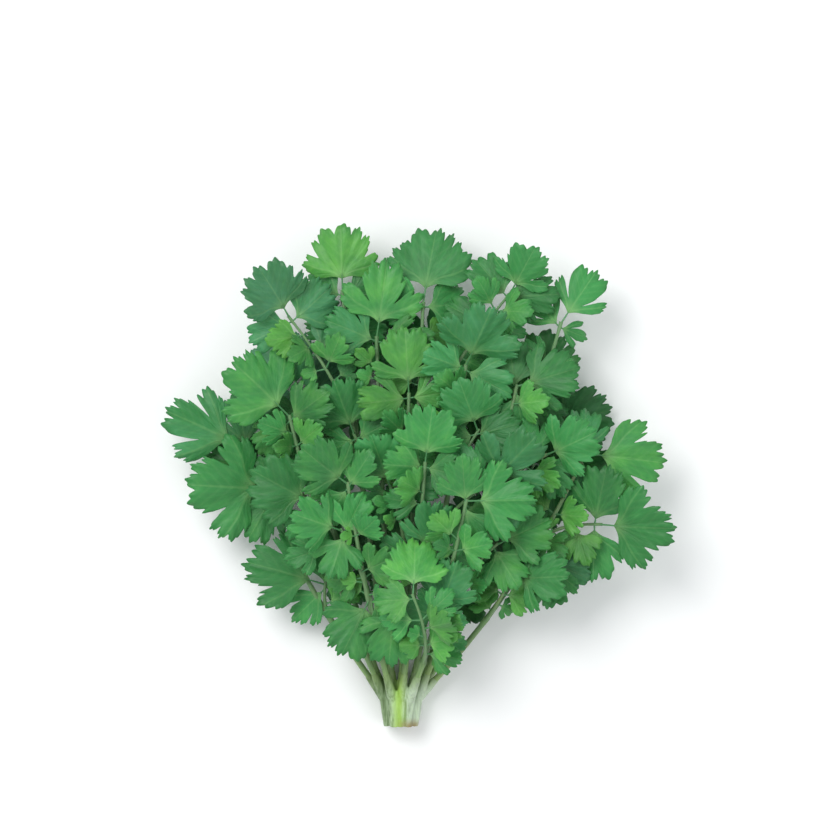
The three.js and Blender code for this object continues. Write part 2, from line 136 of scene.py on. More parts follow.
# Each leafy stem has its row, and its fronds: the first ends it, the others fork off
leafyStems = [
    (0, [
        frond(66, 24, aim=15, size=27),
        frond(29, 8, aim=80, size=28, left=0, fork=0.5),
        frond(52, -14, aim=10, size=26, fork=0.6),
    ]),
    (0, [
        frond(56, 40, aim=55, size=28, tint="fresh"),
        frond(70, 2, aim=5, size=28, fork=0.55),
        frond(38, -28, aim=45, size=29, tint="deep", fork=0.35),
        frond(20, -60, aim=55, size=26, left=0, right=18, fork=0.2),
    ]),
    (0, [
        frond(-24, 60, aim=100, size=31),
        frond(-36, 12, aim=120, size=30, fork=0.4),
        frond(-30, -46, aim=135, size=26, fork=0.25),
    ]),
    (0, [
        frond(-56, 42, aim=125, size=30, tint="cool"),
        frond(-72, 2, aim=165, size=28, fork=0.5),
    ]),
    (0, [
        frond(10, 54, aim=80, size=31),
        frond(-4, 14, aim=95, size=30, fork=0.5),
        frond(-8, -40, aim=95, size=29, fork=0.25),
    ]),
    (1, [
        frond(72, 75, aim=56, size=27, left=24, right=14, low=16, turn=72, spread=0.8, parted=0.6,
              tint="fresh"),
        frond(30, 30, aim=85, size=30, fork=0.55),
    ]),
    (1, [
        frond(-36, 91, aim=86, size=28, left=23, right=22, low=20, turn=84, spread=1.12,
              tint="fresh"),
        frond(-62, 78, aim=124, size=26, left=22, right=25, low=22, turn=86, tint="cool",
              fork=0.6),
    ]),
    (1, [
        frond(-85, 14, aim=158, size=37, left=0, right=27, turn=62, spread=0.8),
        frond(-70, -7, aim=174, size=38, left=26, right=18, turn=62, fork=0.74),
        frond(-45, -55, aim=157, size=34, left=22, right=26, turn=72, spread=0.82, tint="fresh",
              fork=0.34),
    ]),
    (1, [
        frond(4, 85, aim=86, size=32, left=22, right=24, turn=82, parted=0.1, tint="fresh"),
        frond(47, 90, aim=67, size=23, left=24, right=23, low=20, turn=66, fork=0.55),
    ]),
    (1, [
        frond(84, 11, aim=-7, size=33, left=24, right=26, spread=0.86),
        frond(91, -24, aim=-6, size=33, left=28, right=27, turn=82, spread=0.9, fork=0.66),
        frond(68, -41, aim=-98, size=21, left=22, right=18, turn=66, tint="deep", fork=0.52),
        frond(47, -51, aim=4, size=27, left=20, right=0, turn=80, fork=0.36),
    ]),
    (2, [
        frond(-19, 68, aim=76, size=32, turn=84),
        frond(-30, 20, aim=115, size=25, fork=0.5),
    ]),
    (2, [
        frond(-62, 29, aim=135, size=34, left=23, right=24),
        frond(-50, -14, aim=150, size=28, left=21, fork=0.45),
    ]),
    (2, [
        frond(50, 44, aim=12, size=27, tint="deep"),
        frond(64, 10, aim=30, size=24, fork=0.6),
        frond(40, -34, aim=30, size=27, fork=0.35),
    ]),
    (2, [
        frond(-3, 40, aim=95, size=29, tint="fresh"),
        frond(-12, -6, aim=110, size=27, fork=0.45),
    ]),
    (2, [
        frond(25, 54, aim=62, size=30, left=22, right=25, tint="cool"),
        frond(31, 22, aim=105, size=25, fork=0.6),
        frond(36, -4, aim=50, size=30, tint="cool", fork=0.5),
    ]),
    (3, [
        frond(-33, -4, aim=145, size=26),
        frond(-36, -27, aim=160, size=25, tint="fresh", fork=0.5),
        frond(-22, -60, aim=-112, size=26, left=18, right=0, turn=76, fork=0.2),
    ]),
    (3, [
        frond(5, 6, aim=80, size=25),
        frond(3, -40, aim=68, size=26, left=20, right=21, fork=0.35),
        frond(-10, -62, aim=-92, size=27, left=0, right=0, fork=0.25),
    ]),
    (3, [
        frond(25, -12, aim=5, size=29),
        frond(12, -67, aim=76, size=24, left=19, right=15, low=18, fork=0.2),
        frond(-1, -58, aim=92, size=24, left=18, right=0, tint="fresh", fork=0.2),
    ]),
]


# Draws the same numbers each time for the same seed
def makeDice(seed):
    state = (seed * 7919 + 17) % 2147483647

    def draw(low=0, high=1):
        nonlocal state
        state = state * 16807 % 2147483647
        return low + (high - low) * state / 2147483647

    draw()
    draw()
    return draw


# Reliefs: the highest point so far over each cell of the surface
def newRelief():
    return np.full((laying["fieldCells"], laying["fieldCells"]), laying["farBelow"])


def cellsOf(points):
    places = np.floor((points[:, :2] + laying["fieldHalf"]) / laying["cell"]).astype(int)
    places = np.clip(places, 1, laying["fieldCells"] - 2)
    return places[:, 1], places[:, 0]


def raiseRelief(relief, points, tops):
    lines, columns = cellsOf(points)
    for dy in (-1, 0, 1):
        for dx in (-1, 0, 1):
            np.maximum.at(relief, (lines + dy, columns + dx), tops)


# A leaflet's shape, from its length and its own draws
def makeLeaflet(length, isEnd, spread, seed):
    draw = makeDice(seed)
    leaflet = {name: draw(*ends) for name, ends in leafRanges.items()}
    spread *= 1 if isEnd else sideLeaf["narrower"]
    leaflet["length"] *= length
    leaflet["stalk"] = length * blade["stalkShare" if isEnd else "sideStalkShare"]
    leaflet["halfAngle"] = math.radians(leaflet["halfAngle"] * spread)
    leaflet["phase"] = math.radians(leaflet["phase"])
    leaflet["roll"] = math.radians(leaflet["roll"])
    return leaflet


def rimOf(leaflet):
    cuts = next(cuts for upTo, cuts in rims if leaflet["length"] < upTo)
    cuts = np.array(cuts + cuts[-2::-1], float)
    share = np.linspace(-1, 1, len(cuts))
    leaflet["cleftPlace"] = share[cuts == 0][-1]
    cuts[cuts == 0] = leaflet["cleft"]
    rounding = 1 - np.abs(share) ** blade["roundness"]
    reach = leaflet["sideReach"] + (1 - leaflet["sideReach"]) * rounding
    return share * leaflet["halfAngle"], reach * cuts


# Points of the blade in its own plane, arched along it, cupped and waved
def bladePoints(leaflet, angle, reach):
    along = reach * np.cos(angle)
    across = reach * np.sin(angle)
    arch = leaflet["cup"] * across ** 2 - leaflet["droop"] * along ** 2
    wave = leaflet["wave"] * np.sin(blade["waves"] * angle + leaflet["phase"]) * reach ** 2
    length = leaflet["length"]
    return np.stack([leaflet["stalk"] + length * along, length * across, length * (arch + wave)], axis=-1)


def bladeSamples(leaflet):
    angle, reach = rimOf(leaflet)
    share = np.arange(1, laying["rings"] + 1)[:, None] / laying["rings"]
    points = bladePoints(leaflet, angle + 0 * share, reach * share)
    return points.reshape(-1, 3), np.broadcast_to(share, points.shape[:2]).reshape(-1)


# The leaflet's own directions, as rows: along it, across it and up
def turnOf(leaflet, heading, pitch):
    a, b, c = math.radians(heading), -math.radians(pitch), leaflet["roll"]
    aboutZ = np.array([[math.cos(a), -math.sin(a), 0], [math.sin(a), math.cos(a), 0], [0, 0, 1]])
    aboutY = np.array([[math.cos(b), 0, math.sin(b)], [0, 1, 0], [-math.sin(b), 0, math.cos(b)]])
    aboutX = np.array([[1, 0, 0], [0, math.cos(c), -math.sin(c)], [0, math.sin(c), math.cos(c)]])
    return (aboutZ @ aboutY @ aboutX).T


# The curve of a stem, from its root or fork to the joint of its leaflets
class StemCurve:
    def __init__(self, start, heading, end, bend):
        reach = bend * math.hypot(end[0] - start[0], end[1] - start[1])
        control = [start[0] + reach * math.cos(heading), start[1] + reach * math.sin(heading), end[2]]
        self.corners = np.array([start, control, end], float)
        steps = self.at(np.arange(201) / 200)
        self.length = float(np.linalg.norm(np.diff(steps, axis=0), axis=1).sum())

    def at(self, share):
        share = np.asarray(share, float)[..., None]
        start, control, end = self.corners
        return (1 - share) ** 2 * start + 2 * (1 - share) * share * control + share ** 2 * end

    def headingAt(self, share):
        step = self.at(min(share + 1e-4, 1)) - self.at(max(share - 1e-4, 0))
        return math.atan2(step[1], step[0])


# Balls along a stem: place, radius and how far along it they lie
def stemBalls(curve, radii):
    steps = math.ceil(curve.length / laying["ballSpacing"])
    share = np.arange(steps + 1) / steps
    radius = radii[0] + (radii[1] - radii[0]) * share
    return np.column_stack([curve.at(share), radius, share * steps * laying["ballSpacing"]])


def stemIsClear(balls, isMain, pile, own):
    if isMain:
        balls = balls[balls[:, 4] >= crown["sheathLength"]]
    low = balls[:, 2] - balls[:, 3]
    if (low < 0).any():
        return False
    low = low - laying["clearance"]
    cells = cellsOf(balls)
    if (low < pile["blades"][cells]).any():
        return False
    if (low < own["blades"][cells])[balls[:, 4] > laying["ownRun"]].any():
        return False
    others = pile["balls"]
    apart = balls[:, None, 3] + others[None, :, 3] + laying["clearance"]
    plan = np.hypot(balls[:, None, 0] - others[None, :, 0], balls[:, None, 1] - others[None, :, 1])
    over = np.sqrt(np.maximum(apart ** 2 - plan ** 2, 0))
    return not ((plan < apart) & (balls[:, None, 2] - others[None, :, 2] < over)).any()


def bladeIsClear(places, outer, pile, own, frondBlades):
    low = places[:, 2] - blade["thickness"] / 2
    if (low < 0).any():
        return False
    low = low - laying["clearance"]
    cells = cellsOf(places)
    if (low < pile["blades"][cells]).any() or (low < pile["stems"][cells]).any():
        return False
    near = np.maximum(np.maximum(own["blades"][cells], own["stems"][cells]), frondBlades[cells])
    return not (low < near)[outer].any()


# The lowest pitch at which a leaflet is clear of the pile, or None
def restingPitch(isClear, lowest):
    pitch = lowest
    while not isClear(pitch):
        pitch += laying["pitchStep"]
        if pitch > laying["steepest"]:
            return None
    under = pitch - laying["pitchStep"]
    if pitch == lowest:
        return pitch
    for _ in range(laying["halvings"]):
        middle = (under + pitch) / 2
        if isClear(middle):
            pitch = middle
        else:
            under = middle
    return pitch


def layLeaflet(item, plan, curve, row, pile, own, frondBlades, seed):
    back, side, length = item
    leaflet = makeLeaflet(length, side == 0, plan["spread"], seed)
    knot = curve.at(1 - back / curve.length)
    heading = plan["aim"] + side + leaflet["swing"]
    samples, shares = bladeSamples(leaflet)
    outer = shares >= laying["ownShare"]

    def isClear(pitch):
        places = samples @ turnOf(leaflet, heading, pitch) + knot
        return bladeIsClear(places, outer, pile, own, frondBlades)

    pitch = restingPitch(isClear, laying["droops"][row] + leaflet["drop"])
    if pitch is None:
        return None
    turn = turnOf(leaflet, heading, pitch)
    places = samples @ turn + knot
    raiseRelief(frondBlades, places[outer], places[outer, 2] + blade["thickness"] / 2)
    leaflet.update(knot=knot, turn=turn, places=places, isEnd=side == 0, seed=seed)
    return leaflet


# Lays one frond, raising it until its stem and all its leaflets are clear
def layFrond(plan, start, heading, isMain, row, pile, own, seed):
    kind = ("rootRadius", "tipRadius") if isMain else ("branchRootRadius", "branchTipRadius")
    radii = [stem[name] for name in kind]
    bend = stem["bend" if isMain else "branchBend"]
    for raised in range(laying["mostRaises"]):
        height = laying["heights"][row] + raised * laying["raiseStep"]
        curve = StemCurve(start, heading, (*plan["at"], height), bend)
        balls = stemBalls(curve, radii)
        if not stemIsClear(balls, isMain, pile, own):
            continue
        frondBlades = newRelief()
        leaflets = []
        for index, item in enumerate(plan["leaflets"]):
            leaflet = layLeaflet(item, plan, curve, row, pile, own, frondBlades, seed * 10 + index)
            if leaflet is None:
                break
            leaflets.append(leaflet)
        if len(leaflets) == len(plan["leaflets"]):
            return {"curve": curve, "balls": balls, "radii": radii, "leaflets": leaflets, "isMain": isMain}
    return None


# A branch that has no room where it would fork off does so further out
def layBranch(plan, mainCurve, row, pile, own, seed):
    fork = plan["fork"]
    while fork < laying["lastFork"]:
        laid = layFrond(plan, mainCurve.at(fork), mainCurve.headingAt(fork), False, row, pile, own, seed)
        if laid:
            return {**laid, "fork": fork}
        fork += laying["forkStep"]
    raise RuntimeError(f"the frond at {plan['at']} finds no room")


# Across a row of the crown, the stems that end furthest left start furthest left
def rootPlans():
    plans = [{"row": row, "fronds": fronds} for row, fronds in leafyStems]
    for row, height in enumerate(crown["rowHeights"]):
        mates = [plan for plan in plans if plan["row"] == row]
        ends = {id(plan): plan["fronds"][0]["at"] for plan in mates}
        mates.sort(key=lambda plan: math.atan2(
            ends[id(plan)][0] - crown["middleX"], ends[id(plan)][1] - crown["rootY"]))
        for place, plan in enumerate(mates):
            x = crown["middleX"] + crown["columnPitch"] * (place - (len(mates) - 1) / 2)
            lean = math.atan2(ends[id(plan)][0] - x, ends[id(plan)][1] - crown["rootY"])
            widest = math.radians(stem["widest"])
            plan["root"] = np.array([x, crown["rootY"], height])
            plan["heading"] = math.pi / 2 - min(max(lean * stem["splay"], -widest), widest)
    return plans


def layBunch():
    pile = {"blades": newRelief(), "stems": newRelief(), "balls": np.zeros((0, 5))}
    bunch = []
    for number, plan in enumerate(rootPlans(), start=1):
        own = {"blades": newRelief(), "stems": newRelief()}
        fronds = []
        for index, frondPlan in enumerate(plan["fronds"]):
            seed = number * 10 + index
            if index == 0:
                laid = layFrond(frondPlan, plan["root"], plan["heading"], True, plan["row"], pile, own, seed)
            else:
                laid = layBranch(frondPlan, fronds[0]["curve"], plan["row"], pile, own, seed)
            laid.update(tint=frondPlan["tint"], parted=frondPlan["parted"])
            for leaflet in laid["leaflets"]:
                places = leaflet["places"]
                raiseRelief(own["blades"], places, places[:, 2] + blade["thickness"] / 2)
            raiseRelief(own["stems"], laid["balls"], laid["balls"][:, 2] + laid["balls"][:, 3])
            fronds.append(laid)
        pile["balls"] = np.vstack([pile["balls"]] + [laid["balls"] for laid in fronds])
        for name in own:
            pile[name] = np.maximum(pile[name], own[name])
        bunch.append(fronds)
    return bunch


bunch = layBunch()

# The frame has the box of the bunch centred over its origin, and the rims of
# the blades and the cut of the crown are what reaches furthest
def findShift():
    rimPlaces = []
    for fronds in bunch:
        for laid in fronds:
            for leaflet in laid["leaflets"]:
                rim = bladePoints(leaflet, *rimOf(leaflet))
                up = leaflet["turn"][2] * blade["thickness"] / 2
                places = rim @ leaflet["turn"] + leaflet["knot"]
                rimPlaces += [places - up, places + up]
    rimPlaces = np.vstack(rimPlaces)
    low, high = rimPlaces.min(axis=0), rimPlaces.max(axis=0)
    low[1] = min(low[1], crown["cutY"])
    return np.array([-(low[0] + high[0]) / 2, -(low[1] + high[1]) / 2, 0])


shift = findShift()
print("laid", sum(len(laid["leaflets"]) for fronds in bunch for laid in fronds), "leaflets, shift", shift)


# From the laying's millimetres to the frame's metres
def toFrame(places):
    return (np.asarray(places) + shift) * mm


# Young leaflets sit lower on the stems, wherever there is room for one that shows
young = {
    "backs": [9, 15, 21, 27, 34, 41, 49, 58],  # how far behind the end of its stem each pair sits
    "farthest": 0.8,
    "lowestY": -90,
    "lengths": [17, 14, 11, 8],  # tried from the longest
    "stalks": (1.5, 5),
    "turns": (40, 95),
    "spreads": (0.95, 1.2),
    "pitches": range(-30, 54, 3),
    "leastSeen": 0.3,
    "layers": 64,
}


def boxesOf(places):
    lines, columns = cellsOf(places)
    layers = np.clip((places[:, 2] / laying["cell"]).astype(int), 1, young["layers"] - 2)
    return columns, lines, layers


def fineSamples(leaflet):
    angle, reach = rimOf(leaflet)
    fine = np.linspace(angle[0], angle[-1], 41)
    share = np.linspace(0.06, 1, 16)[:, None]
    points = bladePoints(leaflet, fine + 0 * share, np.interp(fine, angle, reach) * share)
    return points.reshape(-1, 3)


# Every box of space that a blade or a stem passes through
def fillBoxes():
    filled = np.zeros((laying["fieldCells"], laying["fieldCells"], young["layers"]), bool)
    for laid in (laid for fronds in bunch for laid in fronds):
        for leaflet in laid["leaflets"]:
            filled[boxesOf(fineSamples(leaflet) @ leaflet["turn"] + leaflet["knot"])] = True
        for reach in ([0, 0, 1], [0, 0, -1], [1, 0, 0], [-1, 0, 0], [0, 0, 0]):
            filled[boxesOf(laid["balls"][:, :3] + laid["balls"][:, 3:4] * reach)] = True
    return filled


def fitsAndShows(places, filled):
    if places[:, 2].min() < 1:
        return False
    columns, lines, layers = boxesOf(places)
    if any(filled[columns, lines, layers + step].any() for step in (-1, 0, 1)):
        return False
    heights = np.arange(young["layers"])
    tops = (filled[columns, lines] * heights).max(axis=1)
    return (layers > tops).mean() >= young["leastSeen"]


def addYoungLeaflet(laid, back, side, seed, filled):
    curve = laid["curve"]
    share = 1 - back / curve.length
    knot = curve.at(share)
    if knot[1] < young["lowestY"]:
        return 0
    draw = makeDice(seed)
    heading = math.degrees(curve.headingAt(share)) + side * draw(*young["turns"])
    spread, stalk = draw(*young["spreads"]), draw(*young["stalks"])
    for length in young["lengths"]:
        leaflet = makeLeaflet(length, False, spread, seed)
        leaflet["stalk"] = stalk
        samples = fineSamples(leaflet)
        for pitch in young["pitches"]:
            turn = turnOf(leaflet, heading, pitch)
            places = samples @ turn + knot
            if fitsAndShows(places, filled):
                filled[boxesOf(places)] = True
                leaflet.update(knot=knot, turn=turn, isEnd=False, seed=seed, tint="young")
                laid["leaflets"].append(leaflet)
                return 1
    return 0


def addYoungLeaflets():
    filled = fillBoxes()
    count = 0
    for number, fronds in enumerate(bunch, start=1):
        for index, laid in enumerate(fronds):
            backs = [back for back in young["backs"] if back < laid["curve"].length * young["farthest"]]
            for place, back in enumerate(backs):
                for side in (-1, 1):
                    seed = 70000 + number * 1000 + index * 100 + place * 10 + side
                    count += addYoungLeaflet(laid, back, side, seed, filled)
    return count


print("added", addYoungLeaflets(), "young leaflets")


# Node arithmetic written as formulas: each operator adds one Math node
class Term:
    def __init__(self, tree, socket):
        self.tree, self.socket = tree, socket

    def calc(self, operation, *values):
        node = self.tree.nodes.new("ShaderNodeMath")
        node.operation = operation
        for socket, value in zip(node.inputs, values):
            plug(self.tree, socket, value)
        return Term(self.tree, node.outputs[0])

    def __add__(self, other):
        return self.calc("ADD", self, other)

    def __sub__(self, other):
        return self.calc("SUBTRACT", self, other)

    def __rsub__(self, other):
        return self.calc("SUBTRACT", other, self)

    def __mul__(self, other):
        return self.calc("MULTIPLY", self, other)

    def __truediv__(self, other):
        return self.calc("DIVIDE", self, other)

    def __pow__(self, power):
        return self.calc("POWER", self, power)

    __radd__ = __add__
    __rmul__ = __mul__

    def of(self, operation):
        return self.calc(operation, self)

    def atLeast(self, other):
        return self.calc("MAXIMUM", self, other)

    def atMost(self, other):
        return self.calc("MINIMUM", self, other)

    # 1 in the middle, falling away over the width
    def bell(self, width):
        share = self / width
        return (share * share * -1).of("EXPONENT")

    def ramp(self, low, high, toLow=0, toHigh=1):
        node = self.tree.nodes.new("ShaderNodeMapRange")
        node.interpolation_type = "SMOOTHSTEP"
        for socket, value in zip(node.inputs, (self, low, high, toLow, toHigh)):
            plug(self.tree, socket, value)
        return Term(self.tree, node.outputs[0])


def plug(tree, socket, value):
    if isinstance(value, Term):
        tree.links.new(value.socket, socket)
    elif isinstance(value, bpy.types.NodeSocket):
        tree.links.new(value, socket)
    else:
        socket.default_value = value


# Adds a node, sets its options and plugs its inputs by name or place
def addNode(tree, kind, options=None, **inputs):
    node = tree.nodes.new(kind)
    for name, value in (options or {}).items():
        setattr(node, name, value)
    for name, value in inputs.items():
        place = name.replace("_", " ")
        plug(tree, node.inputs[place], value)
    return node


def combine(tree, x, y, z=0.0):
    return addNode(tree, "ShaderNodeCombineXYZ", X=x, Y=y, Z=z).outputs[0]


def scaled(tree, vector, amount):
    node = addNode(tree, "ShaderNodeVectorMath", {"operation": "SCALE"}, Scale=amount)
    plug(tree, node.inputs[0], vector)
    return node.outputs[0]


def summed(tree, *vectors):
    total = vectors[0]
    for vector in vectors[1:]:
        node = addNode(tree, "ShaderNodeVectorMath", {"operation": "ADD"})
        plug(tree, node.inputs[0], total)
        plug(tree, node.inputs[1], vector)
        total = node.outputs[0]
    return total


# A Geometry Nodes tree with named inputs; gives the tree, its first geometry
# and the inputs as terms
def newTree(name, inputs):
    tree = bpy.data.node_groups.new(name, "GeometryNodeTree")
    tree.interface.new_socket("Geometry", in_out="INPUT", socket_type="NodeSocketGeometry")
    tree.interface.new_socket("Geometry", in_out="OUTPUT", socket_type="NodeSocketGeometry")
    for label, kind in inputs.items():
        tree.interface.new_socket(label, in_out="INPUT", socket_type="NodeSocket" + kind)
    entry = tree.nodes.new("NodeGroupInput")
    given = {label: Term(tree, entry.outputs[label]) for label in inputs}
    return tree, entry.outputs["Geometry"], given


def endTree(tree, geometry, material):
    smooth = addNode(tree, "GeometryNodeSetShadeSmooth", Geometry=geometry)
    painted = addNode(tree, "GeometryNodeSetMaterial", Geometry=smooth.outputs[0], Material=material)
    leave = tree.nodes.new("NodeGroupOutput")
    tree.links.new(painted.outputs[0], leave.inputs[0])


def readField(tree, name, kind="FLOAT"):
    node = addNode(tree, "GeometryNodeInputNamedAttribute", {"data_type": kind}, Name=name)
    return Term(tree, node.outputs["Attribute"]) if kind == "FLOAT" else node.outputs["Attribute"]


def storeField(tree, geometry, name, value, kind="FLOAT", domain="POINT"):
    options = {"data_type": kind, "domain": domain}
    node = addNode(tree, "GeometryNodeStoreNamedAttribute", options, Geometry=geometry, Name=name)
    plug(tree, node.inputs["Value"], value)
    return node.outputs[0]


def applyTree(piece, tree, settings):
    modifier = piece.modifiers.new(tree.name, "NODES")
    modifier.node_group = tree
    for item in tree.interface.items_tree:
        if item.item_type == "SOCKET" and item.in_out == "INPUT" and item.name in settings:
            modifier[item.identifier] = settings[item.name]


# A mesh of loose points or edges that carries the measures a tree reads
def newSeedling(name, places, edges, fields):
    mesh = bpy.data.meshes.new(name)
    mesh.from_pydata(np.asarray(places).tolist(), edges, [])
    for label, values in fields.items():
        values = np.asarray(values, np.float32)
        kind = "FLOAT_VECTOR" if values.ndim == 2 else "FLOAT"
        attribute = mesh.attributes.new(label, kind, "POINT")
        attribute.data.foreach_set("vector" if values.ndim == 2 else "value", values.ravel())
    piece = bpy.data.objects.new(name, mesh)
    scene.collection.objects.link(piece)
    return piece


# Keeps the shape that the modifiers give as a plain mesh
def settle(piece, nodeName, dropped=()):
    depsgraph = bpy.context.evaluated_depsgraph_get()
    grown = bpy.data.meshes.new_from_object(piece.evaluated_get(depsgraph), depsgraph=depsgraph)
    piece.modifiers.clear()
    piece.data = grown
    for label in dropped:
        if label in grown.attributes:
            grown.attributes.remove(grown.attributes[label])
    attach(piece, "root")
    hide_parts(nodeName)
    return piece


def colour(text):
    parts = [int(text[place:place + 2], 16) / 255 for place in (1, 3, 5)]
    return [*(part / 12.92 if part < 0.04 else ((part + 0.055) / 1.055) ** 2.4 for part in parts), 1.0]


def newMaterial(name, **settings):
    material = bpy.data.materials.new(name)
    material.use_nodes = True
    shader = next(node for node in material.node_tree.nodes if node.type == "BSDF_PRINCIPLED")
    for label, value in settings.items():
        shader.inputs[label.replace("_", " ")].default_value = value
    return material, material.node_tree, shader


def mixed(tree, factor, first, second, blend="MIX"):
    node = addNode(tree, "ShaderNodeMix", {"data_type": "RGBA", "blend_type": blend})
    for socket, value in zip((node.inputs[0], node.inputs[6], node.inputs[7]), (factor, first, second)):
        plug(tree, socket, value)
    return node.outputs[2]


def brightened(tree, shade, amount, saturation=1.0):
    node = addNode(tree, "ShaderNodeHueSaturation", Saturation=saturation, Value=amount, Color=shade)
    return node.outputs[0]


def noise(tree, place, scale, detail=2.0, roughness=0.5):
    node = addNode(tree, "ShaderNodeTexNoise", Vector=place, Scale=scale, Detail=detail, Roughness=roughness)
    return Term(tree, node.outputs["Fac"])


def bumped(tree, shader, height, strength, distance):
    node = addNode(tree, "ShaderNodeBump", Height=height, Strength=strength, Distance=distance)
    tree.links.new(node.outputs[0], shader.inputs["Normal"])


def objectPlace(tree):
    return tree.nodes.new("ShaderNodeTexCoord").outputs["Object"]


def readAttribute(tree, name):
    node = tree.nodes.new("ShaderNodeAttribute")
    node.attribute_name = name
    return node.outputs["Vector"]


def split(tree, vector):
    node = tree.nodes.new("ShaderNodeSeparateXYZ")
    plug(tree, node.inputs[0], vector)
    return [Term(tree, socket) for socket in node.outputs]


# Leaf: green between yellowish and bluish by leaflet, paler at its foot, with
# soft streaks that fan out, faint veins, and painted shade darkening the lower leaf layers
leafLook = {
    "green": "#33803f",
    "yellowish": "#58983a",
    "bluish": "#4c8867",
    "pale": "#8ab873",
    "under": "#6c9670",
    "mainVein": 0.16,
    "sideVeins": 0.05,
    "streaks": 0.46,
    "mottling": 0.62,
    "toneReach": 0.4,
    "roughness": 0.46,
    "veinsAlong": 7.0,
    "veinSlant": 1.5,
    "bump": 0.6,
}


def makeLeafMaterial():
    look = leafLook
    material, tree, shader = newMaterial(
        "coriander leaf", Specular_IOR_Level=0.34, Subsurface_Weight=0.06, Subsurface_Scale=0.001,
        Sheen_Weight=0.05, Sheen_Roughness=0.4)
    shader.inputs["Subsurface Radius"].default_value = (0.5, 1.0, 0.25)
    place = objectPlace(tree)
    along, across, share = split(tree, readAttribute(tree, "leafPlane"))
    halfAngle, cleftPlace, seed = split(tree, readAttribute(tree, "leafFan"))
    tone, hue, age = split(tree, readAttribute(tree, "leafTintAndShade"))
    reach = (along * along + across * across).of("SQRT")
    # main veins run to the middle of each lobe, and others leave them at a slant
    sideVein = (cleftPlace + 1) * 0.46
    beside = share.of("ABSOLUTE").atMost((share.of("ABSOLUTE") - sideVein).of("ABSOLUTE"))
    beside = beside * halfAngle * reach
    mainVein = beside.ramp(0.0, (1.2 - reach) * 0.03, 1, 0)
    slanted = ((reach - beside * look["veinSlant"]) * look["veinsAlong"] + age).of("FRACT") - 0.5
    sideVeins = slanted.of("ABSOLUTE").ramp(0.0, 0.3, 1, 0) * reach.ramp(0.1, 0.4)
    fine = noise(tree, place, 900.0, 2.0) - 0.5
    streaks = noise(tree, combine(tree, share * 7, reach * 0.9, seed), 1.7, 3.0, 0.6) - 0.5
    mottling = noise(tree, place, 80.0, 4.0, 0.6) - 0.5

    shade = mixed(tree, (hue + mottling * 0.8).ramp(0.0, 1.0), colour(look["green"]), colour(look["bluish"]))
    shade = mixed(tree, (mottling - hue).ramp(0.0, 1.0), shade, colour(look["yellowish"]))
    shade = mixed(tree, reach.ramp(0.0, 0.32, 0.5, 0), shade, colour(look["pale"]))
    veins = mainVein * look["mainVein"] + sideVeins * look["sideVeins"]
    shade = mixed(tree, veins, shade, colour(look["pale"]))
    # tone holds each leaflet's own lightness together with the painted shade of its layer
    level = tone * look["toneReach"] + streaks * look["streaks"] + mottling * look["mottling"] + 1
    shade = brightened(tree, shade, level + fine * 0.08)
    normal = split(tree, tree.nodes.new("ShaderNodeNewGeometry").outputs["True Normal"])
    shade = mixed(tree, (normal[2] * -1).ramp(0.0, 0.3, 0, 0.6), shade, colour(look["under"]))
    tree.links.new(shade, shader.inputs["Base Color"])
    plug(tree, shader.inputs["Roughness"], mottling * 0.2 + look["roughness"])
    relief = streaks * 0.9 - veins + fine * 0.12 + mottling * 0.8
    bumped(tree, shader, relief, look["bump"], 0.8 * mm)
    return material


# Stems: grey-green with fine pale ribs, paler at the crown and browner on some
stemLook = {
    "green": "#58854c",
    "greyGreen": "#729468",
    "olive": "#748046",
    "brown": "#6b5740",
    "paleRoot": "#9fb96c",
    "stalk": "#4f8c57",
    "warmths": (0.0, 0.72),  # how olive or brown a stem may be
    "ribContrast": 0.5,
    "roughness": 0.48,
}


def makeStemMaterial():
    look = stemLook
    material, tree, shader = newMaterial(
        "coriander stem", Specular_IOR_Level=0.45, Subsurface_Weight=0.1, Subsurface_Scale=0.002)
    shader.inputs["Subsurface Radius"].default_value = (0.6, 1.0, 0.3)
    place = objectPlace(tree)
    fibre = readAttribute(tree, "fibre")
    rootNearness, warmth, leafiness = split(tree, readAttribute(tree, "stemTint"))
    ribs = noise(tree, fibre, 3.2, 3.0, 0.65) - 0.5
    blotches = noise(tree, place, 60.0, 3.0, 0.6) - 0.5
    shade = mixed(tree, (blotches + 0.5), colour(look["green"]), colour(look["greyGreen"]))
    shade = mixed(tree, (warmth + blotches).ramp(0.45, 1.0, 0, 0.8), shade, colour(look["olive"]))
    shade = mixed(tree, (warmth + blotches + ribs).ramp(0.9, 1.4, 0, 0.8), shade, colour(look["brown"]))
    shade = mixed(tree, (rootNearness + ribs * 0.5).ramp(0.35, 1.0, 0, 0.7), shade, colour(look["paleRoot"]))
    shade = mixed(tree, leafiness.ramp(0.0, 0.5), shade, colour(look["stalk"]))
    shade = mixed(tree, leafiness.ramp(0.5, 1.0), shade, colour(leafLook["green"]))
    shade = brightened(tree, shade, ribs * look["ribContrast"] + blotches * 0.2 + 1)
    tree.links.new(shade, shader.inputs["Base Color"])
    plug(tree, shader.inputs["Roughness"], ribs * 0.2 + look["roughness"])
    bumped(tree, shader, ribs, 0.5, 0.4 * mm)
    return material


leafMaterial = makeLeafMaterial()
stemMaterial = makeStemMaterial()

# A blade: a fan of columns from the foot of the leaflet to its rim. Depths are
# shares of its length, and widths and places shares of half its fan.
bladeCut = {
    "Columns": 161,
    "Rows": 9,
    "Cleft Width": 0.042,
    "Cleft Shoulder": 0.15,
    "Shoulder Share": 0.34,
    "Lobule Depth": 0.13,
    "Tooth Depth": 0.062,
    "Corner Start": 0.7,
    "Corner Fall": 0.5,
    "Ripple": 0.042,
    "Flutter": 1.0 * mm,
    "Spread": 1.3,
    "Lowest": 0.3 * mm,
}


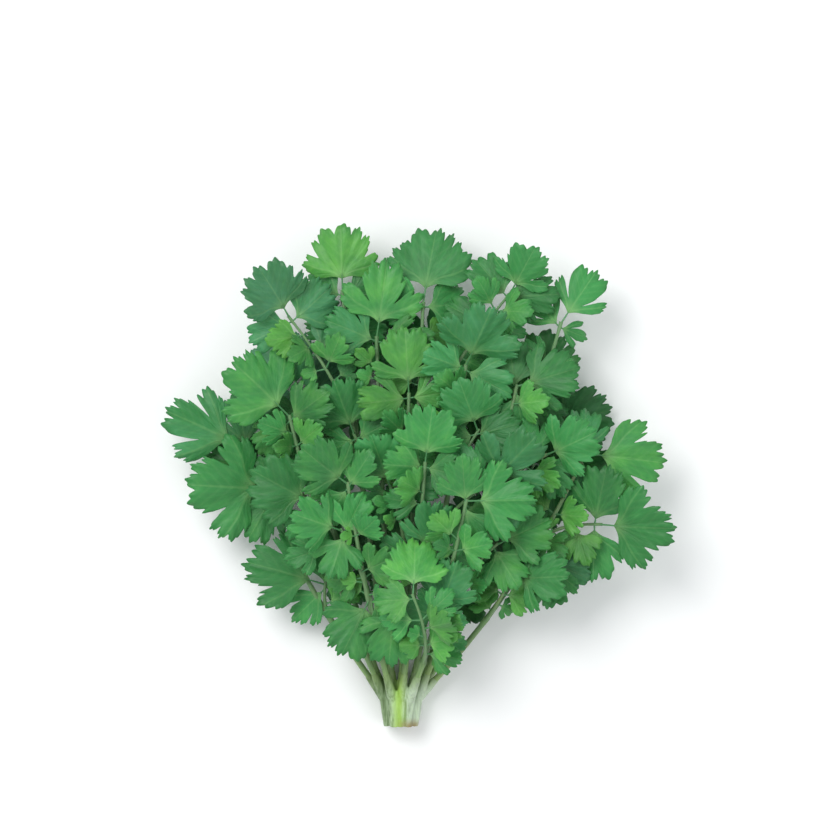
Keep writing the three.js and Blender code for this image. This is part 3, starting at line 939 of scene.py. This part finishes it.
def makeBladeTree():
    inputs = {label: "Int" if isinstance(value, int) else "Float" for label, value in bladeCut.items()}
    tree, points, given = newTree("leaf blades", {**inputs, "Material": "Material"})
    grid = addNode(tree, "GeometryNodeMeshGrid", Size_X=2.0, Size_Y=1.0,
                   Vertices_X=given["Columns"], Vertices_Y=given["Rows"])
    gridPlace = tree.nodes.new("GeometryNodeInputPosition").outputs[0]
    gridX, gridY, _ = split(tree, gridPlace)
    fan = storeField(tree, grid.outputs[0], "share", gridX)
    fan = storeField(tree, fan, "row", gridY + 0.5)
    fans = addNode(tree, "GeometryNodeInstanceOnPoints", Points=points, Instance=fan)
    fans = addNode(tree, "GeometryNodeRealizeInstances", Geometry=fans.outputs[0]).outputs[0]

    share, row = readField(tree, "share"), readField(tree, "row")
    length, stalk, halfAngle = (readField(tree, name) for name in ("length", "stalk", "halfAngle"))
    sideReach, cleftDepth, cleftPlace = (
        readField(tree, name) for name in ("sideReach", "cleftDepth", "cleftPlace"))
    droop, cup, wave, phase = (readField(tree, name) for name in ("droop", "cup", "wave", "phase"))
    teeth, baseSpread, fold = (readField(tree, name) for name in ("teeth", "baseSpread", "fold"))

    # the rim: a rounded fan, parted by two clefts, with its teeth in threes
    edge = share.of("ABSOLUTE")
    fromCleft = edge - cleftPlace
    rim = sideReach + (1 - sideReach) * (1 - edge ** blade["roundness"])
    slit = fromCleft.bell(given["Cleft Width"])
    rim = rim * (1 - slit * cleftDepth)
    rim = rim * (1 - fromCleft.bell(given["Cleft Shoulder"]) * cleftDepth * given["Shoulder Share"])
    corner = ((edge - given["Corner Start"]).atLeast(0) / (1 - given["Corner Start"])) ** 2
    rim = rim * (1 - corner * given["Corner Fall"])
    count = (share + (share * 8 + phase).of("SINE") * 0.045) * teeth / 2 + 0.5
    tooth = (count.of("FRACT") * 2 - 1).of("ABSOLUTE") ** 1.4
    lobule = ((count / 3 + 1 / 3).of("FRACT") * 2 - 1).of("ABSOLUTE") ** 2
    unlike = (share * 11 + phase * 2).of("SINE") * 0.25 + (share * 29 + phase * 5).of("SINE") * 0.3 + 1
    notches = tooth * unlike * given["Tooth Depth"] + lobule * given["Lobule Depth"]
    rim = rim * (1 - notches * (1 - slit.atLeast(corner ** 3)))

    # the blade in its own plane, arched, cupped and waved, each lobe folded
    # along its middle, with ripples and a fluttering rim
    reach = row * rim
    spread = baseSpread + (given["Spread"] - baseSpread) * reach.ramp(0.0, 0.5)
    angle = share * halfAngle * spread
    along, across = reach * angle.of("COSINE"), reach * angle.of("SINE")
    beside = edge.atMost((edge - (cleftPlace + 1) * 0.46).of("ABSOLUTE")) * halfAngle * reach
    rise = cup * across * across - droop * along * along
    rise = rise + wave * (angle * blade["waves"] + phase).of("SINE") * reach * reach + fold * beside
    rise = rise + (angle * 7 + phase * 3).of("SINE") * reach * reach * given["Ripple"]
    flutter = (count * 2.1 + phase).of("SINE") * reach ** 4 * given["Flutter"]
    places = [readField(tree, name, "FLOAT_VECTOR") for name in ("origin", "alongWay", "acrossWay", "upWay")]
    place = summed(
        tree, places[0], scaled(tree, places[1], stalk + length * along),
        scaled(tree, places[2], length * across), scaled(tree, places[3], length * rise + flutter))
    x, y, z = split(tree, place)
    place = combine(tree, x, y, z.atLeast(given["Lowest"]))
    blades = addNode(tree, "GeometryNodeSetPosition", Geometry=fans, Position=place).outputs[0]
    return tree, given, blades, (along, across, share, row)


def finishBladeTree():
    tree, given, blades, (along, across, share, row) = makeBladeTree()
    blades = storeField(tree, blades, "leafPlane", combine(tree, along, across, share), "FLOAT_VECTOR")
    uvPlace = combine(tree, share * 0.5 + 0.5, row)
    blades = storeField(tree, blades, "UVMap", uvPlace, "FLOAT2", "CORNER")
    merged = addNode(tree, "GeometryNodeMergeByDistance", Geometry=blades, Distance=1e-6)
    endTree(tree, merged.outputs[0], given["Material"])
    return tree


bladeTree = finishBladeTree()

# How each tint of frond is toned: lightness, hue from yellowish to bluish
tints = {
    "plain": (0.0, 0.0),
    "fresh": (0.3, -0.25),
    "lime": (0.7, -0.8),
    "cool": (0.12, 0.45),
    "deep": (-0.5, 0.15),
    "young": (0.28, -0.34),
}

# What else is drawn for each blade
bladeRanges = {
    "cleftDepth": (0.2, 0.6),
    "baseSpread": (0.7, 1.0),
    "fold": (-0.3, 0.16),
    "toneSpread": 0.55,
    "hueSpread": 0.3,
    "paintedLayerShade": [-0.8, -0.15, 0.0, 0.1],  # painted shade by layer: the lower leaf layers are darkened, the top one a little lightened
    "toothPitch": 2.15,  # millimetres of rim
}


# One row of measures for each blade of a leafy stem
def bladeMeasures(row, fronds):
    rows = []
    for laid in fronds:
        for leaflet in laid["leaflets"]:
            draw = makeDice(leaflet["seed"] + 50000)
            ownTone, ownHue = tints[leaflet.get("tint", laid["tint"])]
            rimLength = 2 * leaflet["halfAngle"] * leaflet["length"] * 0.9
            # a leaflet's lightness: its frond's tint, the painted shade of its layer and a random spread
            tone = ownTone + bladeRanges["paintedLayerShade"][row] + draw(-1, 1) * bladeRanges["toneSpread"]
            hue = ownHue + draw(-1, 1) * bladeRanges["hueSpread"]
            rows.append({
                "origin": toFrame(leaflet["knot"]),
                "alongWay": leaflet["turn"][0],
                "acrossWay": leaflet["turn"][1],
                "upWay": leaflet["turn"][2],
                "length": leaflet["length"] * mm,
                "stalk": leaflet["stalk"] * mm,
                "cleftDepth": laid["parted"] or draw(*bladeRanges["cleftDepth"]),
                "baseSpread": draw(*bladeRanges["baseSpread"]),
                "fold": draw(*bladeRanges["fold"]),
                "teeth": 2 * round(rimLength / bladeRanges["toothPitch"] / 2) + 1,
                "leafTintAndShade": (tone, hue, draw()),
                "leafFan": (leaflet["halfAngle"], leaflet["cleftPlace"], draw(0, 40)),
                **{name: leaflet[name] for name in
                   ("halfAngle", "sideReach", "cleftPlace", "droop", "cup", "wave", "phase")},
            })
    return rows


def growBlades(number, row, fronds):
    rows = bladeMeasures(row, fronds)
    fields = {name: [row[name] for row in rows] for name in rows[0]}
    piece = newSeedling(f"leafBlades_{number:02d}", fields["origin"], [], fields)
    applyTree(piece, bladeTree, {**bladeCut, "Material": leafMaterial})
    wall = piece.modifiers.new("thickness", "SOLIDIFY")
    wall.thickness = 0.35 * mm
    wall.offset = 0
    dropped = [name for name in fields if name not in ("leafTintAndShade", "leafFan")] + ["share", "row"]
    return settle(piece, f"leafy_stem_{number:02d}", dropped)


# Stems and stalks: ribbed tubes along curves
stemCut = {"Sides": 16, "Rib Depth": 0.05}


def makeStemTree():
    inputs = {"Sides": "Int", "Rib Depth": "Float", "Material": "Material"}
    tree, lines, given = newTree("ribbed stems", inputs)
    curves = addNode(tree, "GeometryNodeMeshToCurve", Mesh=lines).outputs[0]
    ring = addNode(tree, "GeometryNodeCurvePrimitiveCircle", Resolution=given["Sides"], Radius=1.0).outputs[0]
    index = Term(tree, tree.nodes.new("GeometryNodeInputIndex").outputs[0])
    parity = index.calc("MODULO", index, 2)
    ringPlace = tree.nodes.new("GeometryNodeInputPosition").outputs[0]
    ribbed = scaled(tree, ringPlace, 1 - parity * given["Rib Depth"])
    ring = addNode(tree, "GeometryNodeSetPosition", Geometry=ring, Position=ribbed).outputs[0]
    ring = storeField(tree, ring, "around", ringPlace, "FLOAT_VECTOR")
    tubes = addNode(tree, "GeometryNodeCurveToMesh", Curve=curves, Profile_Curve=ring,
                    Scale=readField(tree, "thickness"), Fill_Caps=True).outputs[0]
    aroundX, aroundY, _ = split(tree, readField(tree, "around", "FLOAT_VECTOR"))
    fibre = combine(tree, aroundX, aroundY, readField(tree, "run"))
    tubes = storeField(tree, tubes, "fibre", fibre, "FLOAT_VECTOR")
    endTree(tree, tubes, given["Material"])
    return tree


stemTree = makeStemTree()

stemShape = {
    "step": 2.5,
    "rootShare": 0.95,
    "tipShare": 0.72,
    "stalkRoot": 0.52,
    "stalkTip": 0.36,
    "veinTip": 0.08,
    "veinReach": 0.5,
    "sideVeinReach": 0.3,
    "knotSwelling": 0.24,
    "forkSwelling": 0.3,
    "swellingRun": 2.2,
    "veinSink": 0.12,
}


# The line of a stem, thicker where it forks and where it ends in its leaflets
def stemLine(laid, forks):
    curve, (root, tip) = laid["curve"], laid["radii"]
    count = max(6, math.ceil(curve.length / stemShape["step"]))
    share = np.linspace(0, 1 + stem["runOn"] / curve.length, count)
    root, tip = root * stemShape["rootShare"], tip * stemShape["tipShare"]
    thickness = root + (tip - root) * share
    swellings = [(1.0, stemShape["knotSwelling"])] + [(fork, stemShape["forkSwelling"]) for fork in forks]
    for at, amount in swellings:
        run = (share - at) * curve.length / stemShape["swellingRun"]
        thickness = thickness + amount * np.exp(-run ** 2)
    return curve.at(share), thickness


# A leaflet's stalk, running on as the vein along the middle of its blade, and
# the two veins of its side lobes: points, radii and how leafy each point looks
def stalkLines(leaflet):
    look = stemShape
    start = leaflet["knot"]
    foot = start + leaflet["turn"][0] * leaflet["stalk"]
    sideShare = (leaflet["cleftPlace"] + 1) * 0.46
    lines = []
    for share in (0, -sideShare, sideShare):
        reach = np.linspace(0.02, look["sideVeinReach"] if share else look["veinReach"], 9)
        points = bladePoints(leaflet, share * leaflet["halfAngle"] * 0.9 + 0 * reach, reach)
        points[:, 2] -= look["veinSink"] * (1 + reach)
        onBlade = points @ leaflet["turn"] + start
        slim = np.linspace(look["stalkTip"], look["veinTip"], len(reach))
        leafy = np.linspace(0.6, 1, len(reach))
        if share == 0:
            steps = np.linspace(0, 1, 5)
            stalk = start + (foot - start) * steps[:, None]
            thick = np.linspace(look["stalkRoot"], look["stalkTip"], len(steps))
            onBlade = np.vstack([stalk, onBlade])
            slim, leafy = np.concatenate([thick, slim]), np.concatenate([0.3 + steps * 0.3, leafy])
        lines.append((onBlade, slim if share == 0 else slim * 0.7, leafy))
    return lines


def growStems(number, fronds):
    draw = makeDice(number + 900)
    warmth = draw(*stemLook["warmths"])
    forks = [laid["fork"] for laid in fronds if "fork" in laid]
    root = fronds[0]["curve"].at(0)
    lines = []
    for laid in fronds:
        points, thickness = stemLine(laid, forks if laid["isMain"] else [])
        lines.append((points, thickness, np.linspace(0, 0.3, len(points)) ** 2))
        for leaflet in laid["leaflets"]:
            lines += stalkLines(leaflet)
    places, edges = [], []
    fields = {"thickness": [], "run": [], "stemTint": []}
    for points, thickness, leafy in lines:
        first = len(places)
        edges += [(first + index, first + index + 1) for index in range(len(points) - 1)]
        steps = np.linalg.norm(np.diff(points, axis=0), axis=1)
        run = np.concatenate([[0], np.cumsum(steps)]) / 40 + draw(0, 50)
        nearness = np.exp(-np.linalg.norm(points - root, axis=1) / 45)
        places += toFrame(points).tolist()
        fields["thickness"] += (thickness * mm).tolist()
        fields["run"] += run.tolist()
        fields["stemTint"] += list(zip(nearness, warmth * (1 - leafy), leafy))
    piece = newSeedling(f"stems_{number:02d}", places, edges, fields)
    applyTree(piece, stemTree, {**stemCut, "Material": stemMaterial})
    return settle(piece, f"leafy_stem_{number:02d}", ["thickness", "run", "around"])


for number, (fronds, (row, _)) in enumerate(zip(bunch, leafyStems), start=1):
    growBlades(number, row, fronds)
    growStems(number, fronds)
print("grew", len(bunch), "leafy stems")


# The crown's finish: darker ribs on the left, a fresh streak, paler on the right
crownLook = {
    "rib": "#627c4c",
    "pale": "#afc7a0",
    "white": "#c6d7bd",
    "fresh": "#a2cb55",
    "brown": "#8f7a45",
    "cut": "#a9b27c",
    "stem": "#7b9657",
    "leftX": -14.0 * mm,
    "freshX": -8.6 * mm,
    "freshWidth": 2.7 * mm,
    "brownX": -2.6 * mm,
    "brownWidth": 5.2 * mm,
    "cutY": -128.7 * mm,
    "greenY": -104.0 * mm,
    "roughness": 0.5,
}


def makeCrownMaterial():
    look = crownLook
    material, tree, shader = newMaterial(
        "coriander crown", Specular_IOR_Level=0.45, Subsurface_Weight=0.12, Subsurface_Scale=0.002)
    shader.inputs["Subsurface Radius"].default_value = (0.8, 1.0, 0.4)
    place = objectPlace(tree)
    x, y, z = split(tree, place)
    fibrePlace = combine(tree, x * 620, y * 40, z * 620)
    fibres = noise(tree, fibrePlace, 1.0, 4.0, 0.65) - 0.5
    blotches = noise(tree, place, 160.0, 3.0, 0.6) - 0.5
    shade = mixed(tree, (fibres + 0.5).ramp(0.35, 0.62), colour(look["rib"]), colour(look["pale"]))
    whiteness = (x + fibres * 4 * mm).ramp(-9 * mm, 0.0, 0, 0.7)
    shade = mixed(tree, whiteness, shade, colour(look["white"]))
    leftness = (x + blotches * 4 * mm).ramp(look["leftX"] - 3 * mm, look["leftX"] + 4 * mm, 0.6, 0)
    shade = mixed(tree, leftness, shade, colour(look["rib"]))
    streak = (x - look["freshX"] + fibres * 3 * mm).bell(look["freshWidth"]) * z.ramp(8 * mm, 14 * mm)
    shade = mixed(tree, streak * 0.85, shade, colour(look["fresh"]))
    fromCut = y - look["cutY"]
    browning = (x - look["brownX"] + blotches * 9 * mm).bell(look["brownWidth"])
    browning = browning * fromCut.ramp(3 * mm, 8 * mm, 1, 0)
    shade = mixed(tree, browning * 0.9, shade, colour(look["brown"]))
    greening = (y + fibres * 8 * mm).ramp(look["greenY"] - 6 * mm, look["greenY"] + 4 * mm, 0, 0.75)
    shade = mixed(tree, greening, shade, colour(look["stem"]))
    shade = mixed(tree, fromCut.ramp(0.2 * mm, 0.6 * mm, 0.7, 0), shade, colour(look["cut"]))
    shade = brightened(tree, shade, fibres * 0.5 + blotches * 0.25 + 0.98)
    tree.links.new(shade, shader.inputs["Base Color"])
    plug(tree, shader.inputs["Roughness"], fibres * 0.2 + look["roughness"])
    bumped(tree, shader, fibres, 0.6, 0.5 * mm)
    return material


# Fine ribs run along the crown, raised from its skin
def makeCrownTree():
    tree, skin, given = newTree("crown grain", {"Grain": "Float", "Material": "Material"})
    x, y, z = split(tree, tree.nodes.new("GeometryNodeInputPosition").outputs[0])
    ribs = noise(tree, combine(tree, x * 480, y * 26, z * 480), 1.0, 2.0) - 0.5
    outwards = tree.nodes.new("GeometryNodeInputNormal").outputs[0]
    offset = scaled(tree, outwards, ribs * given["Grain"] * 2)
    ribbed = addNode(tree, "GeometryNodeSetPosition", Geometry=skin, Offset=offset)
    endTree(tree, ribbed.outputs[0], given["Material"])
    return tree


crownMaterial = makeCrownMaterial()
crownTree = makeCrownTree()

# The crown: the feet of all the stems, grown into one ribbed stock and cut flat
crownShape = {
    "footSpread": 0.76,  # how much closer the feet stand at the cut than at the root
    "footRadius": 2.75,
    "rootRadius": 2.95,
    "endRadius": 1.72,
    "sides": 20,
    "voxel": 0.42 * mm,
    "smoothing": 4,
    "grain": 0.28 * mm,
    "middleZ": 9.4,
}


def tubeRings(points, radii, sides):
    points = np.asarray(points, float)
    ways = np.gradient(points, axis=0)
    rings = []
    for point, way, radius in zip(points, ways, radii):
        way = way / np.linalg.norm(way)
        side = np.cross(way, [0, 0, 1])
        side /= np.linalg.norm(side)
        up = np.cross(side, way)
        angles = np.arange(sides) * 2 * math.pi / sides
        rings.append(point + radius * (np.cos(angles)[:, None] * side + np.sin(angles)[:, None] * up))
    return rings


# Adds a closed tube to lists of vertices and faces
def addTube(vertices, faces, points, radii, sides):
    first = len(vertices)
    rings = tubeRings(points, radii, sides)
    for ring in rings:
        vertices += ring.tolist()
    for index in range(len(rings) - 1):
        for corner in range(sides):
            here = first + index * sides + corner
            beside = first + index * sides + (corner + 1) % sides
            faces.append((here, beside, beside + sides, here + sides))
    faces.append(tuple(first + corner for corner in reversed(range(sides))))
    end = first + (len(rings) - 1) * sides
    faces.append(tuple(end + corner for corner in range(sides)))


def growCrown():
    look = crownShape
    vertices, faces = [], []
    middle = np.array([crown["middleX"], crown["cutY"], look["middleZ"]])
    for fronds in bunch:
        curve = fronds[0]["curve"]
        root = curve.at(0)
        foot = middle + (root - middle) * [look["footSpread"], 0, look["footSpread"]]
        foot[1] = crown["cutY"]
        shares = np.linspace(0, crown["sheathLength"] / curve.length, 8)
        way = np.vstack([foot + (root - foot) * step for step in (0, 0.5)] + [curve.at(shares)])
        radii = [look["footRadius"], look["rootRadius"]]
        radii += np.linspace(look["rootRadius"], look["endRadius"], len(shares)).tolist()
        addTube(vertices, faces, toFrame(way), np.array(radii) * mm, look["sides"])
    core = [middle, middle + [0, crown["rootY"] - crown["cutY"], 0]]
    addTube(vertices, faces, toFrame(core), np.array([6.5, 7.5]) * mm, look["sides"])
    mesh = bpy.data.meshes.new("crownStock")
    mesh.from_pydata(vertices, [], faces)
    piece = bpy.data.objects.new("crownStock", mesh)
    scene.collection.objects.link(piece)
    remesh = piece.modifiers.new("one skin", "REMESH")
    remesh.mode = "VOXEL"
    remesh.voxel_size = look["voxel"]
    soften = piece.modifiers.new("soften", "SMOOTH")
    soften.iterations = look["smoothing"]
    soften.factor = 0.5
    applyTree(piece, crownTree, {"Grain": look["grain"], "Material": crownMaterial})
    return settle(piece, "crown")


growCrown()
print("grew the crown")

# A plain pale surface, soft light and a camera straight above
stage = {
    "floorSize": 6.0,
    "floorColour": "#fbfbfa",
    "worldColour": (0.94, 0.97, 1.0, 1.0),
    "worldStrength": 0.72,
    "keyPlace": (-0.55, 0.6, 1.3),
    "keyPower": 13.0,
    "keySize": 0.8,
    "fillPlace": (0.9, -0.5, 1.1),
    "fillPower": 3.5,
    "fillSize": 1.2,
    "cameraHeight": 1.6,
    "referenceHeight": 20 * mm,
    "viewWidth": 414 * mm,
    "viewMiddle": (-0.5, 30.5),  # in the laying's millimetres
    "sensor": 36.0,
}


def makeFloor():
    half = stage["floorSize"] / 2
    mesh = bpy.data.meshes.new("floor")
    corners = [(-half, -half, 0), (half, -half, 0), (half, half, 0), (-half, half, 0)]
    mesh.from_pydata(corners, [], [(0, 1, 2, 3)])
    material, tree, shader = newMaterial("pale floor", Roughness=0.85)
    grain = noise(tree, objectPlace(tree), 40.0, 3.0) - 0.5
    shade = brightened(tree, colour(stage["floorColour"]), grain * 0.02 + 1)
    tree.links.new(shade, shader.inputs["Base Color"])
    mesh.materials.append(material)
    floor = bpy.data.objects.new("floor", mesh)
    scene.collection.objects.link(floor)


def addLight(name, place, power, size):
    lamp = bpy.data.lights.new(name, "AREA")
    lamp.energy = power
    lamp.size = size
    light = bpy.data.objects.new(name, lamp)
    light.location = place
    light.rotation_euler = (-Vector(place)).to_track_quat("-Z", "Y").to_euler()
    scene.collection.objects.link(light)


def makeWorld():
    world = bpy.data.worlds.new("soft studio")
    world.use_nodes = True
    backdrop = next(node for node in world.node_tree.nodes if node.type == "BACKGROUND")
    backdrop.inputs["Color"].default_value = stage["worldColour"]
    backdrop.inputs["Strength"].default_value = stage["worldStrength"]
    scene.world = world


def makeCamera():
    lens = bpy.data.cameras.new("from above")
    distance = stage["cameraHeight"] - stage["referenceHeight"]
    lens.sensor_width = stage["sensor"]
    lens.lens = stage["sensor"] * distance / stage["viewWidth"]
    camera = bpy.data.objects.new("from above", lens)
    camera.location = (*toFrame((*stage["viewMiddle"], 0))[:2], stage["cameraHeight"])
    scene.collection.objects.link(camera)
    scene.camera = camera


makeFloor()
makeWorld()
addLight("key", stage["keyPlace"], stage["keyPower"], stage["keySize"])
addLight("fill", stage["fillPlace"], stage["fillPower"], stage["fillSize"])
makeCamera()
scene.view_settings.view_transform = "Standard"
print("set the stage")
